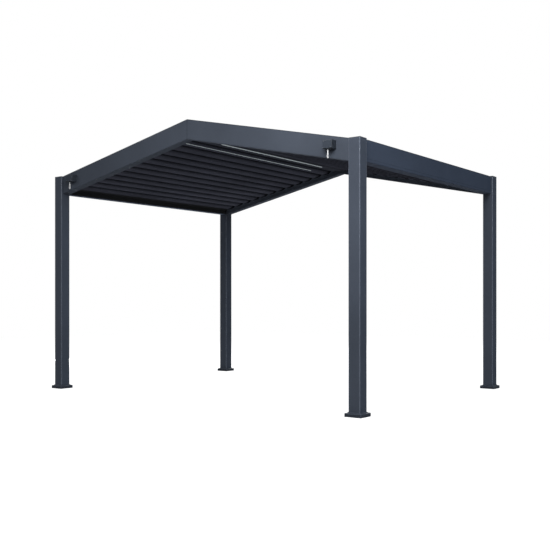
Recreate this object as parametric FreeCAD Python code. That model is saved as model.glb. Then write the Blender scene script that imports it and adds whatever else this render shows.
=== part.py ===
import FreeCAD
import Part
import math
import os

# Louvered gable pergola, in mm
# X runs across the gable, Y runs along the ridge with the front gable at -Y, Z is up
# The origin lies on the floor, in the middle between the four posts

# Overall size
WIDTH = 4000.0
DEPTH = 2980.0
POST_TOP = 2382.0
ROOF_DEG = 12.0

# Posts and feet
POST_SIDE = 115.0
POST_WALL = 3.0
POST_RADIUS = 5.0
CAP_THICK = 3.0
CAP_WALL = 2.5
SPIGOT_DEEP = 25.0
FOOT_SIDE = 168.0
FOOT_EDGE = 32.0
FOOT_TOP = 40.0
FOOT_SHELF = 14.0
FOOT_BASE = 10.0
FOOT_CORNER = 5.0
FOOT_BEVEL = 3.0
COLLAR = 3.0
STUB_TOP = 110.0
STUB_WALL = 4.0
SLIP_FIT = 0.3
SEAT_FIT = 0.2

# Beams
BEAM_THICK = 92.0
BEAM_WALL = 3.0
BEAM_BEVEL = 1.5
GABLE_HEIGHT = 193.0
GABLE_RISE = 1.2
EAVE_HEIGHT = 194.0
EAVE_DROP = 3.0
GUTTER_FLOOR = 24.0
GUTTER_INNER = 55.0
GUTTER_FLANGE = 22.0
GUTTER_LIP_OUT = 37.0
GUTTER_LIP_RISE = 20.0
GUTTER_LIP_THICK = 2.5
RIDGE_THICK = 75.0
RIDGE_DROP = 169.0
RIDGE_TOP_DROP = 24.0
KEEL_WIDE = 20.0
KEEL_RISE = 7.0

# Louvers
LOUVERS = 12
FIRST_LOUVER = 203.9
LAST_ROOM = 114.0
PIVOT_DEPTH = 125.0
BLADE_GAP = 22.8
BLADE_DEEP = 22.0
BLADE_RISE = 9.0
BLADE_SKIN = 2.0
CURVE_WIDE = 57.0
CURVE_NOSE = 4.0
HEEL_WIDE = 16.0
HEEL_CUT = 3.0
SHOULDER_WIDE = 10.0
SHOULDER_DROP = 11.0
LAP_WIDE = 22.0
LAP_SKIN = 3.0
HOOK_WIDE = 17.0
HOOK_RISE = 5.0
END_GAP = 14.0
END_CAP = 4.0
PIVOT_RADIUS = 5.0
PIVOT_CLEAR = 0.08
PIVOT_REACH = 20.0
SHOULDER_RADIUS = 8.0
SHOULDER_CLEAR = 0.5

# Link bars
BAR_THICK = 4.0
BAR_HIGH = 20.0
BAR_GAP = 5.0
BAR_OVERHANG = 14.0
CRANK_PIN_ARM = 40.0
CRANK_PIN_DEG = 45.0
CRANK_PIN_RADIUS = 3.0
CRANK_PIN_CLEAR = 0.06
EAR_RADIUS = 7.0

# Crank gearboxes
BOX_INSET = 185.0
BOX_WIDE = 95.0
BOX_DEEP = 70.0
BOX_LOW = 2303.0
BOX_HIGH = 2377.0
BOX_BEVEL = 3.0
EYE_FORWARD = 58.0
EYE_DROP = 84.0
EYE_RADIUS = 9.0
EYE_HOLE = 4.5
EYE_THICK = 7.0
EYE_NECK = 3.0
EYE_SHANK = 4.0
SHANK_UP = 25.0
SHANK_DOWN = 16.0
SHANK_CLEAR = 0.15
WELL_ROOM = 5.0

# Derived values
SLOPE = math.radians(ROOF_DEG)
TAN = math.tan(SLOPE)
COS = math.cos(SLOPE)
SIN = math.sin(SLOPE)
POST_X = WIDTH / 2 - POST_SIDE / 2
POST_Y = DEPTH / 2 - POST_SIDE / 2
INNER_X = WIDTH / 2 - POST_SIDE
INNER_Y = DEPTH / 2 - POST_SIDE
RIDGE_Z = POST_TOP + GABLE_RISE + INNER_X * TAN
EAVE_TOP = POST_TOP - EAVE_DROP
LOUVER_PITCH = (INNER_X / COS - FIRST_LOUVER - LAST_ROOM) / (LOUVERS - 1)
LOUVER_END = INNER_Y - END_GAP
BLADE_HALF = (LOUVER_PITCH - BLADE_GAP) / 2
CURVE_END = CURVE_WIDE - BLADE_HALF
CURVE_FALL = BLADE_DEEP - CURVE_NOSE
CURVE_RADIUS = (CURVE_WIDE ** 2 + CURVE_FALL ** 2) / (2 * CURVE_FALL)
FLAT_END = BLADE_HALF - HEEL_WIDE
PIN_TURN = math.radians(CRANK_PIN_DEG)
BOX_X = INNER_X - BOX_INSET
UP = FreeCAD.Vector(0, 0, 1)


def vec(x, y, z):
    return FreeCAD.Vector(x, y, z)


def prism(points, low, high):
    """Extrude a closed X, Z outline along Y from low to high."""
    wire = Part.makePolygon([vec(x, low, z) for x, z in points + points[:1]])
    return Part.Face(wire).extrude(vec(0, high - low, 0))


def box(x0, x1, y0, y1, z0, z1):
    return Part.makeBox(x1 - x0, y1 - y0, z1 - z0, vec(x0, y0, z0))


def rod(radius, y0, y1, x, z):
    """Small pin along Y, eight-sided, with its corners on the given radius."""
    ring = [math.radians(22.5 + 45 * k) for k in range(8)]
    return prism([(x + radius * math.cos(a), z + radius * math.sin(a)) for a in ring], y0, y1)


def bore(radius, y0, y1, x, z):
    """Cutter for a hole whose eight flats touch the given radius."""
    return rod(radius / math.cos(math.radians(22.5)), y0, y1, x, z)


def mirror_x(shape):
    return shape.mirror(vec(0, 0, 0), vec(1, 0, 0))


def mirror_y(shape):
    return shape.mirror(vec(0, 0, 0), vec(0, 1, 0))


def solid_of(shape):
    """Return the single solid of a shape, with coplanar faces joined."""
    clean = shape.removeSplitter()
    return clean.Solids[0] if len(clean.Solids) == 1 else clean


def left_point(centre, s, n):
    """Place s (down the left slope) and n (square to it) about a louver centre."""
    return (centre[0] - s * COS - n * SIN, centre[1] - s * SIN + n * COS)


def pivot_at(along):
    """Centre of a left louver whose distance from the ridge down the slope is given."""
    x = -along * COS
    return (x, RIDGE_Z + x * TAN - PIVOT_DEPTH / COS)


def frustum(low_half, low, high_half, high):
    """Square block whose four planar sides lean in from one height to another."""
    lean = prism([(-low_half, low), (low_half, low), (high_half, high), (-high_half, high)],
                 -low_half, low_half)
    other = lean.copy()
    other.rotate(vec(0, 0, 0), UP, 90)
    return lean.common(other)


def rounded_bar(side, z0, z1, radius):
    bar = box(-side / 2, side / 2, -side / 2, side / 2, z0, z1)
    upright = [e for e in bar.Edges if abs(e.tangentAt(e.FirstParameter).z) > 0.9]
    return bar.makeFillet(radius, upright)


# Posts, caps and feet

def make_post():
    outer = rounded_bar(POST_SIDE, FOOT_BASE, POST_TOP - CAP_THICK, POST_RADIUS)
    half = POST_SIDE / 2 - POST_WALL
    return solid_of(outer.cut(box(-half, half, -half, half, FOOT_BASE - 1, POST_TOP)))


def make_cap():
    plate = rounded_bar(POST_SIDE, POST_TOP - CAP_THICK, POST_TOP, POST_RADIUS)
    low = POST_TOP - CAP_THICK - SPIGOT_DEEP
    half = POST_SIDE / 2 - POST_WALL - SLIP_FIT
    core = half - CAP_WALL
    spigot = box(-half, half, -half, half, low, POST_TOP - CAP_THICK)
    hollow = box(-core, core, -core, core, low - 1, POST_TOP - CAP_THICK)
    return solid_of(plate.fuse(spigot.cut(hollow)))


def make_foot():
    half = FOOT_SIDE / 2
    plate = box(-half, half, -half, half, 0, FOOT_EDGE)
    upright = [e for e in plate.Edges if abs(e.tangentAt(e.FirstParameter).z) > 0.9]
    plate = plate.makeChamfer(FOOT_CORNER, upright)
    rim = [e for e in plate.Edges if e.BoundBox.ZMin > FOOT_EDGE - 0.1]
    plate = plate.makeChamfer(FOOT_BEVEL, rim)
    collar = frustum(half - FOOT_SHELF, FOOT_EDGE - 1, POST_SIDE / 2 + COLLAR, FOOT_TOP)
    seat = POST_SIDE / 2 + SEAT_FIT
    socket = box(-seat, seat, -seat, seat, FOOT_BASE, FOOT_TOP + 1)
    out = POST_SIDE / 2 - POST_WALL - SLIP_FIT
    core = out - STUB_WALL
    stub = box(-out, out, -out, out, FOOT_BASE - 1, STUB_TOP)
    hollow = box(-core, core, -core, core, FOOT_BASE, STUB_TOP + 1)
    return solid_of(plate.fuse(collar).cut(socket).fuse(stub).cut(hollow))


# Beams

def make_gable():
    """Left half of the front gable, cut upright at the ridge and at the post."""
    tall = GABLE_HEIGHT / COS
    y0 = -INNER_Y - BEAM_THICK
    y1 = -INNER_Y
    edge = RIDGE_Z - INNER_X * TAN
    bar = prism([(0, RIDGE_Z), (-INNER_X, edge), (-INNER_X, edge - tall), (0, RIDGE_Z - tall)], y0, y1)
    long = [e for e in bar.Edges if abs(e.tangentAt(e.FirstParameter).x) > 0.9]
    bar = bar.makeChamfer(BEAM_BEVEL, long)
    wall = BEAM_WALL / COS
    hollow = prism([(1, RIDGE_Z + TAN - wall), (-INNER_X - 1, edge - TAN - wall),
                    (-INNER_X - 1, edge - TAN - tall + wall), (1, RIDGE_Z + TAN - tall + wall)],
                   y0 + BEAM_WALL, y1 - BEAM_WALL)
    bar = bar.cut(hollow)
    for i in range(LOUVERS):
        x, z = pivot_at(FIRST_LOUVER + i * LOUVER_PITCH)
        bar = bar.cut(bore(PIVOT_RADIUS + PIVOT_CLEAR, y1 - BEAM_WALL - 1, y1 + 1, x, z))
    return solid_of(bar)


def make_eave():
    """Left eave beam, a gutter section with its trough open towards the roof."""
    top = EAVE_TOP
    low = top - EAVE_HEIGHT
    x0 = -INNER_X - BEAM_THICK
    w = BEAM_WALL
    floor = low + GUTTER_FLOOR
    inner = low + GUTTER_INNER
    tip = inner + GUTTER_LIP_RISE
    outline = [(x0, low), (x0 + BEAM_THICK, low), (x0 + BEAM_THICK, inner),
               (x0 + BEAM_THICK + GUTTER_LIP_OUT, tip),
               (x0 + BEAM_THICK + GUTTER_LIP_OUT - BEAM_BEVEL, tip + GUTTER_LIP_THICK),
               (x0 + BEAM_THICK - w, inner + GUTTER_LIP_THICK),
               (x0 + BEAM_THICK - w, floor + w), (x0 + w, floor + w),
               (x0 + w, top - w), (x0 + GUTTER_FLANGE, top - w), (x0 + GUTTER_FLANGE, top), (x0, top)]
    bar = prism(outline, -INNER_Y, INNER_Y)
    outer = [e for e in bar.Edges
             if abs(e.tangentAt(e.FirstParameter).y) > 0.9
             and (abs(e.BoundBox.XMin - x0) < 0.01
                  or (abs(e.BoundBox.XMin + INNER_X) < 0.01 and abs(e.BoundBox.ZMin - low) < 0.01))]
    bar = bar.makeChamfer(BEAM_BEVEL, outer)
    hollow = prism([(x0 + w, low + w), (x0 + BEAM_THICK - w, low + w),
                    (x0 + BEAM_THICK - w, floor), (x0 + w, floor)], -INNER_Y - 1, INNER_Y + 1)
    return solid_of(bar.cut(hollow))


def make_ridge():
    """Ridge beam with a narrow keel, and a wing on each side that laps over the first louvers."""
    centre = pivot_at(FIRST_LOUVER - LOUVER_PITCH)
    half = RIDGE_THICK / 2
    low = RIDGE_Z - RIDGE_DROP
    high = RIDGE_Z - RIDGE_TOP_DROP
    w = BEAM_WALL

    def slope_z(x, n):
        return centre[1] + (x - centre[0]) * TAN + n / COS

    left = [(0, low), (-KEEL_WIDE / 2, low), (-half, low + KEEL_RISE), (-half, slope_z(-half, -BLADE_DEEP))]
    left += [left_point(centre, s, n) for s, n in lower_side()]
    left += [(-half, slope_z(-half, BLADE_RISE)), (-half, high - half * TAN), (0, high)]
    right = [(-x, z) for x, z in left[1:-1]]
    bar = prism(left + right[::-1], -INNER_Y, INNER_Y)
    floor = low + KEEL_RISE + w
    room = [(-half + w, floor), (-half + w, high - half * TAN - w),
            (0, high - w), (half - w, high - half * TAN - w), (half - w, floor)]
    bar = bar.cut(prism(room, -INNER_Y - 1, INNER_Y + 1))
    top = BLADE_RISE - BLADE_SKIN
    base = BLADE_SKIN - BLADE_DEEP
    hollow = [(-half - w, slope_z(-half - w, base)), (-half - w, slope_z(-half - w, top))]
    wall = BLADE_HALF - BLADE_SKIN
    inside = [(wall, top), (wall, BLADE_SKIN / 4 - CURVE_NOSE), (FLAT_END + BLADE_SKIN / 2, base)]
    hollow += [left_point(centre, s, n) for s, n in inside]
    pocket = prism(hollow, -INNER_Y - 1, INNER_Y + 1)
    return solid_of(bar.cut(pocket).cut(mirror_x(pocket)))


# Louvers

def lower_side():
    """Section points on the low side of a blade, from its flat underside to the lap's top."""
    return [(FLAT_END, -BLADE_DEEP), (FLAT_END + HEEL_CUT, -BLADE_DEEP + HEEL_CUT / 2),
            (BLADE_HALF, -CURVE_NOSE), (BLADE_HALF, BLADE_RISE - LAP_SKIN),
            (BLADE_HALF + LAP_WIDE, BLADE_RISE - LAP_SKIN), (BLADE_HALF + LAP_WIDE, BLADE_RISE)]


def upper_side():
    """Section points on the high side of a blade, from its top to the rain hook."""
    hook = BLADE_HALF + HOOK_WIDE
    trough = BLADE_RISE - SHOULDER_DROP
    return [(SHOULDER_WIDE - BLADE_HALF, BLADE_RISE), (0.4 * SHOULDER_WIDE - BLADE_HALF, trough),
            (BLADE_SKIN - hook, trough), (BLADE_SKIN - hook, HOOK_RISE - CURVE_NOSE),
            (-hook, HOOK_RISE - CURVE_NOSE), (-hook, -CURVE_NOSE), (-BLADE_HALF, -CURVE_NOSE)]


def curve_n(s):
    """Height of the curved underside at s, where it runs into the flat."""
    off = s - CURVE_END
    return CURVE_RADIUS - BLADE_DEEP - math.sqrt(CURVE_RADIUS ** 2 - off ** 2)


def make_louver():
    """Left louver about its own pivot, with both end caps and its pins."""
    y0 = -LOUVER_END
    y1 = LOUVER_END

    def at(s, n):
        x, z = left_point((0, 0), s, n)
        return vec(x, y0, z)

    start = -BLADE_HALF
    middle = start + CURVE_WIDE / 2
    arc = Part.Arc(at(start, -CURVE_NOSE), at(middle, curve_n(middle)), at(CURVE_END, -BLADE_DEEP))
    path = [(CURVE_END, -BLADE_DEEP)] + lower_side() + upper_side()
    lines = [Part.makeLine(at(*a), at(*b)) for a, b in zip(path, path[1:])]
    skin = Part.Face(Part.Wire([arc.toShape()] + lines)).extrude(vec(0, y1 - y0, 0))
    near = start + 0.14 * CURVE_WIDE
    far = start + 0.56 * CURVE_WIDE
    top = BLADE_RISE - BLADE_SKIN
    wall = BLADE_HALF - 1.1 * BLADE_SKIN
    room = [(near, curve_n(near) + 1.2 * BLADE_SKIN), (far, curve_n(far) + 1.1 * BLADE_SKIN),
            (CURVE_END, BLADE_SKIN - BLADE_DEEP), (FLAT_END, BLADE_SKIN - BLADE_DEEP),
            (wall, BLADE_SKIN / 5 - CURVE_NOSE), (wall, top), (1.15 * SHOULDER_WIDE + start, top),
            (0.7 * SHOULDER_WIDE + start, BLADE_SKIN / 4 + BLADE_RISE - SHOULDER_DROP)]
    chamber = prism([left_point((0, 0), s, n) for s, n in room], y0 + END_CAP, y1 - END_CAP)
    blade = skin.cut(chamber)
    stand = END_GAP - SHOULDER_CLEAR
    for end, way in ((y0, -1), (y1, 1)):
        for radius, reach in ((PIVOT_RADIUS, PIVOT_REACH), (SHOULDER_RADIUS, stand)):
            span = sorted((end - way, end + way * reach))
            blade = blade.fuse(rod(radius, span[0], span[1], 0, 0))
    px, pz = crank_pin((0, 0))
    blade = blade.fuse(make_ear(y0, y0 + END_CAP))
    return solid_of(blade.fuse(rod(CRANK_PIN_RADIUS, y0 - BAR_GAP - BAR_THICK, y0 + 1, px, pz)))


def make_ear(y0, y1):
    """Ear on the end cap that reaches from the pivot out to the link bar's pin."""
    corners = []
    for arm, side in ((0, -1), (CRANK_PIN_ARM, -1), (CRANK_PIN_ARM, 1), (0, 1)):
        s = arm * math.cos(PIN_TURN) - side * EAR_RADIUS * math.sin(PIN_TURN)
        n = arm * math.sin(PIN_TURN) + side * EAR_RADIUS * math.cos(PIN_TURN)
        corners.append(left_point((0, 0), s, n))
    px, pz = crank_pin((0, 0))
    return prism(corners, y0, y1).fuse(rod(EAR_RADIUS, y0, y1, px, pz))


def crank_pin(centre):
    """Centre of the pin that carries the link bar, on a left louver."""
    return left_point(centre, CRANK_PIN_ARM * math.cos(PIN_TURN), CRANK_PIN_ARM * math.sin(PIN_TURN))


def make_link():
    """Left link bar in the slot between the front gable and the louver ends."""
    y1 = -LOUVER_END - BAR_GAP
    y0 = y1 - BAR_THICK
    first = pivot_at(FIRST_LOUVER)
    last = pivot_at(FIRST_LOUVER + (LOUVERS - 1) * LOUVER_PITCH)
    s = CRANK_PIN_ARM * math.cos(PIN_TURN)
    n = CRANK_PIN_ARM * math.sin(PIN_TURN)
    half = BAR_HIGH / 2
    outline = [left_point(first, s - BAR_OVERHANG, n - half), left_point(last, s + BAR_OVERHANG, n - half),
               left_point(last, s + BAR_OVERHANG, n + half), left_point(first, s - BAR_OVERHANG, n + half)]
    bar = prism(outline, y0, y1)
    for i in range(LOUVERS):
        x, z = crank_pin(pivot_at(FIRST_LOUVER + i * LOUVER_PITCH))
        bar = bar.cut(bore(CRANK_PIN_RADIUS + CRANK_PIN_CLEAR, y0 - 1, y1 + 1, x, z))
    return solid_of(bar)


# Crank gearboxes

def make_gearbox():
    y1 = -INNER_Y - BEAM_THICK
    body = box(-BOX_X - BOX_WIDE / 2, -BOX_X + BOX_WIDE / 2, y1 - BOX_DEEP, y1, BOX_LOW, BOX_HIGH)
    front = [e for e in body.Edges if e.BoundBox.YMax < y1 - 1]
    body = body.makeChamfer(BOX_BEVEL, front)
    well = Part.makeCylinder(EYE_SHANK + SHANK_CLEAR, SHANK_UP + WELL_ROOM + 1,
                             vec(-BOX_X, y1 - EYE_FORWARD, BOX_LOW - 1), UP)
    return solid_of(body.cut(well))


def make_eye():
    """Crank eye: a shank in the gearbox and a drop-shaped loop below it."""
    y = -INNER_Y - BEAM_THICK - EYE_FORWARD
    x = -BOX_X
    side = x - EYE_THICK / 2
    centre = BOX_LOW - EYE_DROP + EYE_RADIUS
    shank = Part.makeCylinder(EYE_SHANK, SHANK_UP + SHANK_DOWN, vec(x, y, BOX_LOW - SHANK_DOWN), UP)
    disc = Part.makeCylinder(EYE_RADIUS, EYE_THICK, vec(side, y, centre), vec(1, 0, 0))
    wide = EYE_RADIUS * math.cos(math.radians(20))
    rise = EYE_RADIUS * math.sin(math.radians(20))
    high = BOX_LOW - SHANK_DOWN / 2
    corners = [(-wide, centre + rise), (wide, centre + rise), (EYE_NECK, high), (-EYE_NECK, high)]
    wire = Part.makePolygon([vec(side, y + a, b) for a, b in corners + corners[:1]])
    neck = Part.Face(wire).extrude(vec(EYE_THICK, 0, 0))
    hole = Part.makeCylinder(EYE_HOLE, EYE_THICK + 2, vec(side - 1, y, centre), vec(1, 0, 0))
    return solid_of(disc.fuse(neck).fuse(shank).cut(hole))


# Export

os.makedirs("parts", exist_ok=True)
written = []


def export(name, shape):
    shape.exportStep("parts/" + name + ".step")
    written.append(name)


post = make_post()
foot = make_foot()
cap = make_cap()
caps = []
for y_name, y_sign in (("front", -1), ("back", 1)):
    for x_name, x_sign in (("left", -1), ("right", 1)):
        move = vec(x_sign * POST_X, y_sign * POST_Y, 0)
        export("post_" + y_name + "_" + x_name, post.translated(move))
        export("foot_" + y_name + "_" + x_name, foot.translated(move))
        caps.append(cap.translated(move))
export("post_caps", Part.makeCompound(caps))

gable = make_gable()
export("gable_front_left", gable)
export("gable_front_right", mirror_x(gable))
export("gable_back_left", mirror_y(gable))
export("gable_back_right", mirror_x(mirror_y(gable)))

eave = make_eave()
export("eave_left", eave)
export("eave_right", mirror_x(eave))
export("ridge_beam", make_ridge())

louver = make_louver()
right_louver = mirror_x(louver)
for i in range(LOUVERS):
    x, z = pivot_at(FIRST_LOUVER + i * LOUVER_PITCH)
    export("louver_left_%02d" % (i + 1), louver.translated(vec(x, 0, z)))
    export("louver_right_%02d" % (i + 1), right_louver.translated(vec(-x, 0, z)))

link = make_link()
export("link_left", link)
export("link_right", mirror_x(link))

gearbox = make_gearbox()
export("gearbox_left", gearbox)
export("gearbox_right", mirror_x(gearbox))
eye = make_eye()
export("crank_eye_left", eye)
export("crank_eye_right", mirror_x(eye))

print("nodes written:", len(written))
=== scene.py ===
import math

import bpy
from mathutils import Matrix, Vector


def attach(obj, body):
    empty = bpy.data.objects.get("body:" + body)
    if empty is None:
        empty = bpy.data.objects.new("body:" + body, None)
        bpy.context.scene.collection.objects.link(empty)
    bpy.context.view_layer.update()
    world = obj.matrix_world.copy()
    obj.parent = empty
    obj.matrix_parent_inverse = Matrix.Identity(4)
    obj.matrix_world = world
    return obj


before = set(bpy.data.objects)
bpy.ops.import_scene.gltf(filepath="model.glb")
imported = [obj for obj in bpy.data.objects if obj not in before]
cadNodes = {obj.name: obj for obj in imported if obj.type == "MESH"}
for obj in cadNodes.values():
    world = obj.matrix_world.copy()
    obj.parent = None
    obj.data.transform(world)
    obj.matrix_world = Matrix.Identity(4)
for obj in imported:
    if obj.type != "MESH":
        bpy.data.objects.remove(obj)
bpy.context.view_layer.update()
print("frame loaded:", len(cadNodes), "pieces")


# the roof's own measures, in metres, as the metalwork was cut
roof = {"pitch": math.radians(12), "ridgeHeight": 2.78387, "firstLouver": 0.2039, "louverStep": 0.146291,
        "pivotDepth": 0.125, "louverEnd": 1.361, "louverCount": 12}


# node helpers

noiseSpan = (0.3, 0.7)  # the middle part of a noise, which tones and roughness follow
fullSpan = (0.0, 1.0)


def newFinish(name):
    finish = bpy.data.materials.new(name)
    finish.use_nodes = True
    tree = finish.node_tree
    shader = tree.nodes["Principled BSDF"]
    return finish, tree, shader


def addNode(tree, kind, place, **values):
    node = tree.nodes.new(kind)
    node.location = place
    for key, value in values.items():
        setattr(node, key, value)
    return node


def feed(tree, socket, value):
    # another node's output is linked, a plain number or colour is set
    if isinstance(value, bpy.types.NodeSocket):
        tree.links.new(value, socket)
    else:
        socket.default_value = value


def addNoise(tree, coords, scale, detail, place, stretch=None):
    source = coords.outputs["Object"]
    if stretch:
        mapping = addNode(tree, "ShaderNodeMapping", (place[0] - 200, place[1]))
        mapping.inputs["Scale"].default_value = stretch
        tree.links.new(source, mapping.inputs["Vector"])
        source = mapping.outputs["Vector"]
    noise = addNode(tree, "ShaderNodeTexNoise", place)
    noise.inputs["Scale"].default_value = scale
    noise.inputs["Detail"].default_value = detail
    tree.links.new(source, noise.inputs["Vector"])
    return noise.outputs["Fac"]


def addRamp(tree, source, low, high, place):
    ramp = addNode(tree, "ShaderNodeValToRGB", place)
    for stop, position, colour in zip(ramp.color_ramp.elements, noiseSpan, (low, high)):
        stop.position = position
        stop.color = colour
    tree.links.new(source, ramp.inputs["Fac"])
    return ramp.outputs["Color"]


def addMath(tree, operation, place, first, second=0.0):
    node = addNode(tree, "ShaderNodeMath", place, operation=operation)
    feed(tree, node.inputs[0], first)
    feed(tree, node.inputs[1], second)
    return node.outputs[0]


def addRange(tree, source, span, result, place):
    # carries one span of values over to another
    node = addNode(tree, "ShaderNodeMapRange", place)
    node.inputs["From Min"].default_value = span[0]
    node.inputs["From Max"].default_value = span[1]
    node.inputs["To Min"].default_value = result[0]
    node.inputs["To Max"].default_value = result[1]
    tree.links.new(source, node.inputs["Value"])
    return node.outputs["Result"]


def addMix(tree, factor, first, second, place, blend="MIX"):
    mix = addNode(tree, "ShaderNodeMix", place, data_type="RGBA", blend_type=blend)
    feed(tree, mix.inputs[0], factor)
    feed(tree, mix.inputs[6], first)  # 6 and 7 are the two colours
    feed(tree, mix.inputs[7], second)
    return mix.outputs[2]


def addSplit(tree, source, place):
    split = addNode(tree, "ShaderNodeSeparateXYZ", place)
    tree.links.new(source, split.inputs["Vector"])
    return split.outputs


def addRounding(tree, radius, samples, place):
    # the normal that the surface would have with its edges rounded off
    rounding = addNode(tree, "ShaderNodeBevel", place, samples=samples)
    rounding.inputs["Radius"].default_value = radius
    return rounding.outputs["Normal"]


def addBump(tree, shader, height, strength, depth, place):
    bump = addNode(tree, "ShaderNodeBump", place)
    bump.inputs["Strength"].default_value = strength
    bump.inputs["Distance"].default_value = depth
    tree.links.new(height, bump.inputs["Height"])
    tree.links.new(bump.outputs["Normal"], shader.inputs["Normal"])
    return bump


def shadeOf(tone, factor):
    return tuple(min(1.0, c * factor) for c in tone) + (1,)


# anthracite powder coat on extruded aluminium
powderCoat = {
    # edge: how much paler the colour is painted along rounded edges, a painted highlight
    "post": {"tone": (0.070, 0.083, 0.110), "roughness": 0.60, "specular": 0.06, "edge": 2.8, "shine": 1.5},
    "beam": {"tone": (0.075, 0.088, 0.114), "roughness": 0.72, "specular": 0.03, "topLine": 0.30},
    "eave": {"tone": (0.066, 0.082, 0.117), "roughness": 0.72, "specular": 0.03, "topLine": 0.30},
    "ridge": {"tone": (0.056, 0.060, 0.076), "roughness": 0.50, "specular": 0.0},
    "louver": {"tone": (0.072, 0.076, 0.100), "roughness": 0.50, "specular": 0.0},
    "cap": {"tone": (0.036, 0.042, 0.054), "roughness": 0.55, "specular": 0.06},
    "lid": {"tone": (0.052, 0.063, 0.082), "roughness": 0.60, "specular": 0.05},
    # the feet's edges carry the same painted highlight
    "foot": {"tone": (0.040, 0.047, 0.062), "roughness": 0.42, "specular": 0.08, "edge": 3.0},
    "cloudScale": 1.7, "cloudDetail": 3.0, "toneSpread": 0.10,
    "speckScale": 160.0, "speckDetail": 2.0, "speckSpan": (0.60, 0.78), "speckAmount": 0.35, "speckLift": 1.5,
    "hazeScale": 9.0, "hazeDetail": 4.0, "smoother": 0.04, "rougher": 0.05,
    "peelScale": 700.0, "peelDetail": 2.0, "peelStrength": 0.05, "peelDepth": 0.0004,
    "edgeRadius": 0.004, "edgeSamples": 4,
    "shineRadius": 0.009, "shineSamples": 12, "shineSpan": (0.998, 0.93), "shineRoughness": 0.5,
    "uprightSpan": (0.05, 0.20),
    "topLineRadius": 0.010, "topLineSamples": 6, "topLineSpan": (0.06, 0.30), "wallSpan": (0.3, 0.6),
    "gapReach": 0.08, "gapSamples": 8, "gapSpan": (0.85, 1.0), "gapShade": 0.08, "aboveSpan": (-0.1, 0.1),
    "endCapFrom": 1.3568, "endCapTone": (0.012, 0.012, 0.013),
    # painted shade on the eaves' inner side: where it starts and its tone
    "innerShadeWithin": 1.8855, "innerShadeTone": (0.030, 0.031, 0.033),
    "seamWithin": 0.0014, "seamTone": (0.006, 0.007, 0.009),
}


def addCoatTone(tree, coords, tone):
    # broad clouds in the tone, with fine paler specks over them
    spread = powderCoat["toneSpread"]
    cloud = addNoise(tree, coords, powderCoat["cloudScale"], powderCoat["cloudDetail"], (-1000, 200))
    colour = addRamp(tree, cloud, shadeOf(tone, 1 - spread), shadeOf(tone, 1 + spread), (-800, 200))
    speck = addNoise(tree, coords, powderCoat["speckScale"], powderCoat["speckDetail"], (-1000, -60))
    amount = addRange(tree, speck, powderCoat["speckSpan"], (0.0, powderCoat["speckAmount"]), (-800, -60))
    return addMix(tree, amount, colour, shadeOf(tone, powderCoat["speckLift"]), (-560, 160))


def addEdgeMask(tree, surface, look):
    # 1 round the bend of an edge, 0 on the flat; it places the painted highlight, and on posts also the
    # glossier corners
    rounded = addRounding(tree, powderCoat["shineRadius"], powderCoat["shineSamples"], (-1200, 640))
    facing = addNode(tree, "ShaderNodeVectorMath", (-1000, 720), operation="DOT_PRODUCT")
    tree.links.new(rounded, facing.inputs[0])
    tree.links.new(surface, facing.inputs[1])
    mask = addRange(tree, facing.outputs["Value"], powderCoat["shineSpan"], fullSpan, (-800, 720))
    if "shine" in look:  # upright corners only, not the ends
        lean = addSplit(tree, rounded, (-1000, 560))["Z"]
        upright = addRange(tree, lean, powderCoat["uprightSpan"], (1.0, 0.0), (-800, 560))
        mask = addMath(tree, "MULTIPLY", (-700, 760), mask, upright)
    return mask


def addPaintedTopShade(tree, surface, colour, look):
    # painted shade: a dark line painted on the walls of a beam, along its upper edge
    turned = addRounding(tree, powderCoat["topLineRadius"], powderCoat["topLineSamples"], (-1400, 1040))
    bent = addSplit(tree, turned, (-1200, 1040))["Z"]
    upper = addRange(tree, bent, powderCoat["topLineSpan"], fullSpan, (-1000, 1040))
    flat = addSplit(tree, surface, (-1200, 1220))["Z"]
    wall = addRange(tree, flat, powderCoat["wallSpan"], (1.0, 0.0), (-1000, 1220))
    line = addMath(tree, "MULTIPLY", (-800, 1040), upper, wall)
    return addMix(tree, line, colour, shadeOf(look["tone"], look["topLine"]), (-640, 900))


def addGapShade(tree, surface, colour):
    # faces that look down are dark next to the narrow gaps between the blades
    opening = addNode(tree, "ShaderNodeAmbientOcclusion", (-1000, 420), samples=powderCoat["gapSamples"])
    opening.inputs["Distance"].default_value = powderCoat["gapReach"]
    shade = addRange(tree, opening.outputs["AO"], powderCoat["gapSpan"], (powderCoat["gapShade"], 1.0),
                     (-780, 420))
    facing = addSplit(tree, surface, (-1200, 300))["Z"]
    above = addRange(tree, facing, powderCoat["aboveSpan"], fullSpan, (-1000, 300))
    lifted = addMath(tree, "MAXIMUM", (-620, 420), shade, above)
    return addMix(tree, 1.0, colour, lifted, (-460, 420), blend="MULTIPLY")


def paintWhere(tree, colour, along, test, limit, tone, row):
    # another tone where the distance from the middle passes the test
    distance = addMath(tree, "ABSOLUTE", (-1000, row), along)
    mask = addMath(tree, test, (-800, row), distance, limit)
    return addMix(tree, mask, colour, tone + (1,), (-380, 160))


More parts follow.
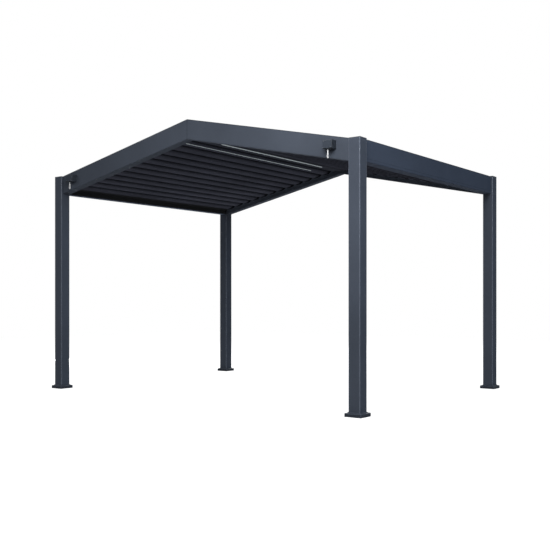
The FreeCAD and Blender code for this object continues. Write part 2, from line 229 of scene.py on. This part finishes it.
def makePowderCoat(name, look, endCaps=False, seam=False, gaps=False, innerShade=False):
    finish, tree, shader = newFinish(name)
    coords = addNode(tree, "ShaderNodeTexCoord", (-1400, 0))
    axis = addSplit(tree, coords.outputs["Object"], (-1200, -520))
    surface = addNode(tree, "ShaderNodeNewGeometry", (-1400, 820)).outputs["Normal"]
    colour = addCoatTone(tree, coords, look["tone"])
    if "edge" in look:  # painted highlight: the colour is made paler along rounded edges
        highlightEdgeMask = addEdgeMask(tree, surface, look)
        colour = addMix(tree, highlightEdgeMask, colour, shadeOf(look["tone"], look["edge"]), (-640, 620))
    # painted shade along the upper edges of beams and eaves
    if "topLine" in look:
        colour = addPaintedTopShade(tree, surface, colour, look)
    if gaps:
        colour = addGapShade(tree, surface, colour)
    if endCaps:  # moulded black caps close both ends of a blade
        colour = paintWhere(tree, colour, axis["Y"], "GREATER_THAN", powderCoat["endCapFrom"],
                            powderCoat["endCapTone"], -520)
    if innerShade:  # painted shade: the side towards the middle is painted darker and greyer
        colour = paintWhere(tree, colour, axis["X"], "LESS_THAN", powderCoat["innerShadeWithin"],
                            powderCoat["innerShadeTone"], -1240)
    if seam:  # the dark hairline where the two halves of a gable meet
        colour = paintWhere(tree, colour, axis["X"], "LESS_THAN", powderCoat["seamWithin"],
                            powderCoat["seamTone"], -700)
    tree.links.new(colour, shader.inputs["Base Color"])

    haze = addNoise(tree, coords, powderCoat["hazeScale"], powderCoat["hazeDetail"], (-1000, -300))
    roughSpan = (look["roughness"] - powderCoat["smoother"], look["roughness"] + powderCoat["rougher"])
    rough = addRange(tree, haze, noiseSpan, roughSpan, (-600, -260))
    shader.inputs["Specular IOR Level"].default_value = look["specular"]
    if "shine" in look:  # the posts' corners are glossier than their sides
        polish = addRange(tree, highlightEdgeMask, fullSpan, (look["specular"], look["shine"]), (-380, 720))
        tree.links.new(polish, shader.inputs["Specular IOR Level"])
        lessRough = addRange(tree, highlightEdgeMask, fullSpan, (1.0, powderCoat["shineRoughness"]), (-380, 900))
        rough = addMath(tree, "MULTIPLY", (-200, -260), rough, lessRough)
    tree.links.new(rough, shader.inputs["Roughness"])

    # the orange peel of the coat, on edges that are slightly rounded off
    peel = addNoise(tree, coords, powderCoat["peelScale"], powderCoat["peelDetail"], (-800, -900))
    edge = addRounding(tree, powderCoat["edgeRadius"], powderCoat["edgeSamples"], (-600, -1050))
    bump = addBump(tree, shader, peel, powderCoat["peelStrength"], powderCoat["peelDepth"], (-400, -900))
    tree.links.new(edge, bump.inputs["Normal"])
    return finish


# bare metals: zinc on the link bars, the gearboxes' screws, and the pale strips under the roof that are put
# in as painted highlights
metal = {
    "zinc": {"tone": (0.50, 0.51, 0.52), "roughness": 0.34, "grain": (1.0, 1.0, 12.0), "metallic": 1.0},
    "screw": {"tone": (0.16, 0.17, 0.19), "roughness": 0.32, "grain": (1.0, 1.0, 1.0), "metallic": 1.0},
    "strip": {"tone": (0.80, 0.90, 1.0), "roughness": 0.30, "grain": (12.0, 0.6, 12.0), "metallic": 0.8},
    "brushScale": 60.0, "brushDetail": 4.0, "darker": 0.85, "lighter": 1.12,
    "smoother": 0.06, "rougher": 0.08, "brushStrength": 0.08, "brushDepth": 0.0003,
}


def makeMetal(name, look):
    finish, tree, shader = newFinish(name)
    coords = addNode(tree, "ShaderNodeTexCoord", (-1400, 0))
    brushed = addNoise(tree, coords, metal["brushScale"], metal["brushDetail"], (-900, 200),
                       stretch=look["grain"])
    low = shadeOf(look["tone"], metal["darker"])
    high = shadeOf(look["tone"], metal["lighter"])
    tree.links.new(addRamp(tree, brushed, low, high, (-700, 200)), shader.inputs["Base Color"])
    roughSpan = (look["roughness"] - metal["smoother"], look["roughness"] + metal["rougher"])
    rough = addRange(tree, brushed, noiseSpan, roughSpan, (-500, -100))
    tree.links.new(rough, shader.inputs["Roughness"])
    shader.inputs["Metallic"].default_value = look["metallic"]
    addBump(tree, shader, brushed, metal["brushStrength"], metal["brushDepth"], (-300, -300))
    return finish


# moulded parts: the gearboxes, the crank eyes and the rubber seals between louvers
moulded = {
    # painted shade: the housing is made dark so that the gearboxes' sides look shaded, while the
    # coat-coloured lid forms the front
    "box": {"tone": (0.025, 0.032, 0.044), "roughness": 0.55, "grainScale": 380.0, "grainStrength": 0.12},
    "eye": {"tone": (0.82, 0.83, 0.84), "roughness": 0.22, "grainScale": 220.0, "grainStrength": 0.03,
            "sleeveFrom": 2.292},
    "seal": {"tone": (0.010, 0.010, 0.011), "roughness": 0.7, "grainScale": 300.0, "grainStrength": 0.15},
    "cloudScale": 14.0, "cloudDetail": 3.0, "darker": 0.93, "lighter": 1.06,
    "grainDetail": 2.0, "smoother": 0.05, "rougher": 0.06, "grainDepth": 0.0003,
}


def makeMoulded(name, look):
    finish, tree, shader = newFinish(name)
    coords = addNode(tree, "ShaderNodeTexCoord", (-1400, 0))
    cloud = addNoise(tree, coords, moulded["cloudScale"], moulded["cloudDetail"], (-900, 200))
    low = shadeOf(look["tone"], moulded["darker"])
    high = shadeOf(look["tone"], moulded["lighter"])
    colour = addRamp(tree, cloud, low, high, (-700, 200))
    if "sleeveFrom" in look:  # a dark bearing sleeve round the top of the shank
        height = addSplit(tree, coords.outputs["Object"], (-900, 420))["Z"]
        sleeve = addMath(tree, "GREATER_THAN", (-700, 420), height, look["sleeveFrom"])
        colour = addMix(tree, sleeve, colour, moulded["box"]["tone"] + (1,), (-400, 300))
    tree.links.new(colour, shader.inputs["Base Color"])
    grain = addNoise(tree, coords, look["grainScale"], moulded["grainDetail"], (-900, -200))
    roughSpan = (look["roughness"] - moulded["smoother"], look["roughness"] + moulded["rougher"])
    rough = addRange(tree, grain, noiseSpan, roughSpan, (-500, -60))
    tree.links.new(rough, shader.inputs["Roughness"])
    addBump(tree, shader, grain, look["grainStrength"], moulded["grainDepth"], (-300, -300))
    return finish


postCoat = makePowderCoat("post_coat", powderCoat["post"])
beamCoat = makePowderCoat("beam_coat", powderCoat["beam"], seam=True)
eaveCoat = makePowderCoat("eave_coat", powderCoat["eave"], innerShade=True)
ridgeCoat = makePowderCoat("ridge_coat", powderCoat["ridge"])
louverCoat = makePowderCoat("louver_coat", powderCoat["louver"], endCaps=True, gaps=True)
capCoat = makePowderCoat("cap_coat", powderCoat["cap"])
footCoat = makePowderCoat("foot_coat", powderCoat["foot"])
lidCoat = makePowderCoat("lid_coat", powderCoat["lid"])
zinc = makeMetal("zinc_plate", metal["zinc"])
screwSteel = makeMetal("dark_screw", metal["screw"])
highlightStrip = makeMetal("painted_highlight_strip", metal["strip"])
boxPlastic = makeMoulded("gearbox_plastic", moulded["box"])
eyeWhite = makeMoulded("eye_white", moulded["eye"])
sealRubber = makeMoulded("seal_rubber", moulded["seal"])
print("finishes made")

# the first line that fits a piece's name gives its finish
finishFor = {
    "post_caps": capCoat, "post_": postCoat, "foot_": footCoat, "gable_": beamCoat, "eave_": eaveCoat,
    "ridge_beam": ridgeCoat, "louver_": louverCoat, "link_": zinc, "gearbox_": boxPlastic,
    "crank_eye_": eyeWhite,
}
for nodeName, piece in cadNodes.items():
    for start, finish in finishFor.items():
        if nodeName.startswith(start):
            piece.data.materials.clear()
            piece.data.materials.append(finish)
            break
print("finishes put on the metalwork")


# modelling helpers

def selectNothing():
    bpy.ops.object.select_all(action="DESELECT")


def settle(piece):
    # the finished piece keeps its place in its mesh, as the metalwork does
    selectNothing()
    piece.select_set(True)
    bpy.context.view_layer.objects.active = piece
    bpy.ops.object.transform_apply(location=True, rotation=True, scale=True)


def addBlock(name, centre, size, bevelWidth, segments=2):
    selectNothing()
    bpy.ops.mesh.primitive_cube_add(size=1, location=centre)
    block = bpy.context.active_object
    block.name = name
    block.scale = size
    settle(block)
    bpy.ops.object.mode_set(mode="EDIT")
    bpy.ops.mesh.select_all(action="SELECT")
    bpy.ops.mesh.bevel(offset=bevelWidth, segments=segments)
    bpy.ops.object.mode_set(mode="OBJECT")
    return block


def giveFinish(piece, finish, body):
    # the piece moves with its body and belongs to a slot
    piece.data.materials.clear()
    piece.data.materials.append(finish)
    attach(piece, body)


# lids and screws of the two crank gearboxes
gearbox = {"centreX": 1.700, "frontY": -1.537, "centreZ": 2.340,
           "lidWide": 0.091, "lidHigh": 0.067, "lidThick": 0.003, "lidRound": 0.0009,
           "screwIn": 0.008, "screwRadius": 0.0032, "screwHigh": 0.0022, "screwSides": 16,
           "screwSunk": 0.0003, "socketRim": 0.45, "socketDepth": 0.0012, "frontNormal": -0.9}


def addScrew(name, centre):
    # flat head that looks out of the box front, with a round recess
    selectNothing()
    bpy.ops.mesh.primitive_cylinder_add(vertices=gearbox["screwSides"], radius=gearbox["screwRadius"],
                                        depth=gearbox["screwHigh"], location=centre,
                                        rotation=(math.pi / 2, 0, 0))
    screw = bpy.context.active_object
    screw.name = name
    settle(screw)
    bpy.ops.object.mode_set(mode="EDIT")
    bpy.ops.mesh.select_mode(type="FACE")
    bpy.ops.mesh.select_all(action="DESELECT")
    bpy.ops.object.mode_set(mode="OBJECT")
    for face in screw.data.polygons:
        face.select = face.normal.y < gearbox["frontNormal"]
    bpy.ops.object.mode_set(mode="EDIT")
    bpy.ops.mesh.inset(thickness=gearbox["screwRadius"] * gearbox["socketRim"])
    bpy.ops.transform.translate(value=(0, gearbox["socketDepth"], 0))
    bpy.ops.object.mode_set(mode="OBJECT")
    return screw


lidY = gearbox["frontY"] - gearbox["lidThick"] / 2
lidSize = (gearbox["lidWide"], gearbox["lidThick"], gearbox["lidHigh"])
screwY = gearbox["frontY"] - gearbox["lidThick"] - gearbox["screwHigh"] / 2 + gearbox["screwSunk"]
for side, sign in (("left", -1), ("right", 1)):
    boxX = sign * gearbox["centreX"]
    lid = addBlock("gearbox_lid_" + side, (boxX, lidY, gearbox["centreZ"]), lidSize, gearbox["lidRound"])
    giveFinish(lid, lidCoat, "frame")
    for row, rowSign in (("low", -1), ("top", 1)):
        for column, columnSign in (("a", -1), ("b", 1)):
            x = boxX + columnSign * (gearbox["lidWide"] / 2 - gearbox["screwIn"])
            z = gearbox["centreZ"] + rowSign * (gearbox["lidHigh"] / 2 - gearbox["screwIn"])
            screw = addScrew("gearbox_screw_" + side + "_" + row + "_" + column, (x, screwY, z))
            giveFinish(screw, screwSteel, "frame")
print("gearbox lids and screws made")


# rubber beads under the lap of every louver
seal = {"along": 0.0686, "above": 0.0041, "wide": 0.0042, "high": 0.0042, "shorter": 0.004, "round": 0.0012}


def louverPoint(side, number, along, above):
    # a place on a louver, measured down the slope and square to it from the pivot
    distance = roof["firstLouver"] + (number - 1) * roof["louverStep"]
    tilt = roof["pitch"]
    x = distance * math.cos(tilt)
    z = roof["ridgeHeight"] - x * math.tan(tilt) - roof["pivotDepth"] / math.cos(tilt)
    x += along * math.cos(tilt) + above * math.sin(tilt)
    z += above * math.cos(tilt) - along * math.sin(tilt)
    return (-x if side == "left" else x), z


def addSeal(side):
    x, z = louverPoint(side, 1, seal["along"], seal["above"])
    size = (seal["wide"], 2 * roof["louverEnd"] - seal["shorter"], seal["high"])
    bead = addBlock("louver_seal_" + side + "_01", (0, 0, 0), size, seal["round"])
    turn = roof["pitch"] if side == "right" else -roof["pitch"]
    bead.rotation_euler = (0, turn, 0)
    bead.location = (x, 0, z)
    settle(bead)
    return bead


for side in ("left", "right"):
    first = addSeal(side)
    giveFinish(first, sealRubber, "louver_" + side + "_01")
    startX, startZ = louverPoint(side, 1, 0, 0)
    for number in range(2, roof["louverCount"] + 1):
        bead = first.copy()
        bead.data = first.data.copy()
        bead.name = "louver_seal_%s_%02d" % (side, number)
        bpy.context.scene.collection.objects.link(bead)
        x, z = louverPoint(side, number, 0, 0)
        bead.location = (x - startX, 0, z - startZ)
        settle(bead)
        giveFinish(bead, sealRubber, "louver_%s_%02d" % (side, number))
print("seals made")


# painted highlights: bright half-round strips under the ridge and under the first louver of the left slope,
# put where highlight lines fall
strip = {"ridgeWide": 0.015, "ridgeDrop": 0.008, "ridgeZ": 2.6149, "ridgeEnd": 0.94, "ridgeSunk": 0.0003,
         "louverWide": 0.010, "louverDrop": 0.0045, "louverAlong": -0.006, "louverAbove": -0.0218,
         "louverFront": -1.31, "louverBack": 0.98, "sides": 24, "smoothAngle": math.radians(40)}


def addHalfRound(name, wide, drop, length):
    # a bar whose flat top lies at the origin, with a low round underside
    selectNothing()
    bpy.ops.mesh.primitive_cylinder_add(vertices=strip["sides"], radius=wide / 2, depth=length,
                                        location=(0, 0, 0), rotation=(math.pi / 2, 0, 0))
    bar = bpy.context.active_object
    bar.name = name
    settle(bar)
    bpy.ops.object.mode_set(mode="EDIT")
    bpy.ops.mesh.select_all(action="SELECT")
    bpy.ops.mesh.bisect(plane_co=(0, 0, 0), plane_no=(0, 0, 1), use_fill=True, clear_outer=True)
    bpy.ops.mesh.select_all(action="SELECT")
    bpy.ops.transform.resize(value=(1, 1, 2 * drop / wide), center_override=(0, 0, 0))
    bpy.ops.object.mode_set(mode="OBJECT")
    bpy.ops.object.shade_smooth_by_angle(angle=strip["smoothAngle"])
    return bar


ridgeStrip = addHalfRound("ridge_strip", strip["ridgeWide"], strip["ridgeDrop"], 2 * strip["ridgeEnd"])
ridgeStrip.location = (0, 0, strip["ridgeZ"] + strip["ridgeSunk"])
settle(ridgeStrip)
giveFinish(ridgeStrip, highlightStrip, "frame")
louverStrip = addHalfRound("louver_strip_left", strip["louverWide"], strip["louverDrop"],
                           strip["louverBack"] - strip["louverFront"])
x, z = louverPoint("left", 1, strip["louverAlong"], strip["louverAbove"])
louverStrip.rotation_euler = (0, -roof["pitch"], 0)
louverStrip.location = (x, (strip["louverFront"] + strip["louverBack"]) / 2, z)
settle(louverStrip)
giveFinish(louverStrip, highlightStrip, "louver_left_01")
print("bright strips made")


# pale floor and white world
studio = {"floorSize": 24.0, "floorTone": (0.45, 0.45, 0.45, 1), "floorRoughness": 0.9, "floorGlow": 0.93,
          "floorMirror": 0.12, "worldMirror": 0.4, "ambient": 0.18, "white": (1, 1, 1, 1)}


def addSeen(tree, mirrorShare, left, low):
    # 1 where the camera sees the background itself, less where metal or glass shows it
    ray = addNode(tree, "ShaderNodeLightPath", (left, low + 200)).outputs
    mirrored = addMath(tree, "MAXIMUM", (left + 100, low), ray["Is Glossy Ray"], ray["Is Transmission Ray"])
    partly = addMath(tree, "MULTIPLY", (left + 150, low - 100), mirrored, mirrorShare)
    return addMath(tree, "MAXIMUM", (left + 200, low + 200), ray["Is Camera Ray"], partly)


selectNothing()
bpy.ops.mesh.primitive_plane_add(size=studio["floorSize"], location=(0, 0, 0))
floor = bpy.context.active_object
floor.name = "floor"
settle(floor)
floorFinish, tree, shader = newFinish("floor_pale")
shader.inputs["Base Color"].default_value = studio["floorTone"]
shader.inputs["Roughness"].default_value = studio["floorRoughness"]
shader.inputs["Specular IOR Level"].default_value = 0.0
seen = addSeen(tree, studio["floorMirror"], -600, 200)
glow = addMath(tree, "MULTIPLY", (-200, 400), seen, studio["floorGlow"])
shader.inputs["Emission Color"].default_value = studio["white"]
tree.links.new(glow, shader.inputs["Emission Strength"])
floor.data.materials.append(floorFinish)

world = bpy.data.worlds.new("studio_world")
world.use_nodes = True
bpy.context.scene.world = world
tree = world.node_tree
ground = tree.nodes["Background"]
seen = addSeen(tree, studio["worldMirror"], -800, 100)
level = addRange(tree, seen, fullSpan, (studio["ambient"], 1.0), (-400, 300))
ground.inputs["Color"].default_value = studio["white"]
tree.links.new(level, ground.inputs["Strength"])
print("floor and world set")


# round soft lamps; one with its glare off shows in no reflection
lamps = {
    "key_light": {"place": (3.0, -4.2, 4.0), "size": 2.5, "power": 160.0, "aim": (0, 0, 1.5)},
    "fill_light": {"place": (-5.0, -7.0, 5.0), "size": 2.5, "power": 60.0, "aim": (0, 0, 1.5)},
    "low_light": {"place": (-5.6, 1.9, 0.5), "size": 1.6, "power": 182.0, "aim": (0, 0, 2.4), "glare": False},
    "back_light": {"place": (-3.5, 7.5, 5.2), "size": 2.5, "power": 320.0, "aim": (0, 0, 1.5)},
    "top_light": {"place": (0.0, 0.5, 7.0), "size": 4.0, "power": 90.0, "aim": (0, 0, 1.5)},
    "side_light": {"place": (13.0, 0.6, 2.7), "size": 1.5, "power": 186.0, "aim": (0, 0, 1.5),
                   "tint": (0.60, 0.79, 1.0)},
}


def addSoftbox(name, lamp):
    selectNothing()
    bpy.ops.object.light_add(type="AREA", location=lamp["place"])
    softbox = bpy.context.active_object
    softbox.name = name
    softbox.data.shape = "DISK"
    softbox.data.size = lamp["size"]
    softbox.data.energy = lamp["power"]
    softbox.data.color = lamp.get("tint", (1, 1, 1))
    direction = Vector(lamp["aim"]) - Vector(lamp["place"])
    softbox.rotation_euler = direction.to_track_quat("-Z", "Y").to_euler()
    softbox.visible_glossy = lamp.get("glare", True)


for lampName, lamp in lamps.items():
    addSoftbox(lampName, lamp)
print("lamps set")

# the photograph's viewing angle
view = {"place": (5.680, -7.613, 1.005), "turn": 36.770, "lens": 55.065, "sensor": 36.0, "shiftUp": 0.0436,
        "farClip": 200.0}
bpy.ops.object.camera_add(location=view["place"], rotation=(math.pi / 2, 0, math.radians(view["turn"])))
camera = bpy.context.active_object
camera.data.lens = view["lens"]
camera.data.sensor_width = view["sensor"]
camera.data.shift_y = view["shiftUp"]
camera.data.clip_end = view["farClip"]
bpy.context.scene.camera = camera
bpy.context.scene.view_settings.view_transform = "Standard"
print("studio set")
